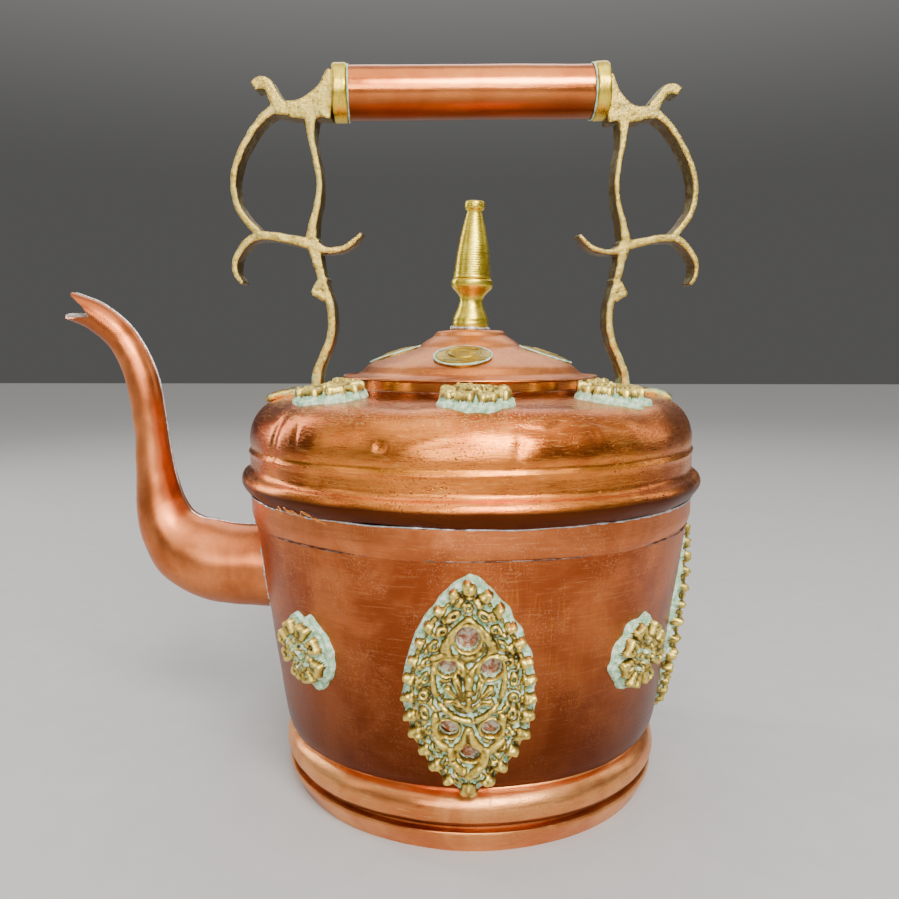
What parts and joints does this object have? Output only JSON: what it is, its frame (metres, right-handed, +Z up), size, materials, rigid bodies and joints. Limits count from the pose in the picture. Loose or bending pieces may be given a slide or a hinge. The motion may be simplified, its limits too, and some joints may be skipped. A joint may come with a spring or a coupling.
{
  "type": "kettle",
  "caption": "Round copper kettle with a rolled shoulder, a narrow swan-neck spout, a lift-off lid with a tall finial, and a bar grip on two scrolled brass brackets.",
  "frame": {"origin": "centre of the base ring's resting edge, on the surface the kettle stands on", "axes": "+Z up along the body's axis, -X towards the spout, -Y towards the side with the front plaque"},
  "size_m": [0.3328, 0.234, 0.3642],
  "materials": {
    "copper_body": "brown tarnished copper sheet with fine spun lines",
    "copper_spun": "satin spun copper, pinker and brighter",
    "copper_grip": "hand-polished copper tube",
    "cast_brass": "matte sand-cast brass, grainy",
    "turned_brass": "turned brass with fine rings",
    "relief_brass": "old cast brass with pale green verdigris in the recesses",
    "solder": "dull silver solder",
    "steel_rod": "plain steel rod"
  },
  "bodies": {
    "kettle": {"base_ring": "copper_spun", "bottom_plate": "copper_body", "body_wall": "copper_body", "collar_band": "copper_body", "collar_solder": "solder", "rim_solder": "solder", "shoulder": "copper_spun", "neck_ring": "copper_spun", "neck_solder": "solder", "spout": "copper_spun", "spout_seam": "solder", "spout_solder": "solder", "medallion_front": "relief_brass", "medallion_right": "relief_brass", "medallion_back": "relief_brass", "body_rosette_front_right": "relief_brass", "body_rosette_back_right": "relief_brass", "body_rosette_back_left": "relief_brass", "body_rosette_front_left": "relief_brass", "shoulder_rosette_front": "relief_brass", "shoulder_rosette_front_right": "relief_brass", "shoulder_rosette_back_right": "relief_brass", "shoulder_rosette_back": "relief_brass", "shoulder_rosette_back_left": "relief_brass", "shoulder_rosette_front_left": "relief_brass", "bracket_left": "cast_brass", "bracket_right": "cast_brass", "grip_collar_left": "turned_brass", "grip_collar_right": "turned_brass", "grip_tube": "copper_grip", "grip_rod": "steel_rod"},
    "lid": {"lid_shell": "copper_spun", "lid_skirt": "copper_spun", "lid_disc_front": "turned_brass", "lid_disc_right": "turned_brass", "lid_disc_back": "turned_brass", "lid_disc_left": "turned_brass", "finial_solder": "solder", "finial_baluster": "turned_brass", "finial_cone": "turned_brass", "finial_stud": "steel_rod", "finial_nut": "turned_brass"}
  },
  "joints": [
    {"name": "lid_lift", "type": "slide", "parent": "kettle", "child": "lid", "axis": [0, 0, 1], "range_m": [0, 0.036]}
  ]
}
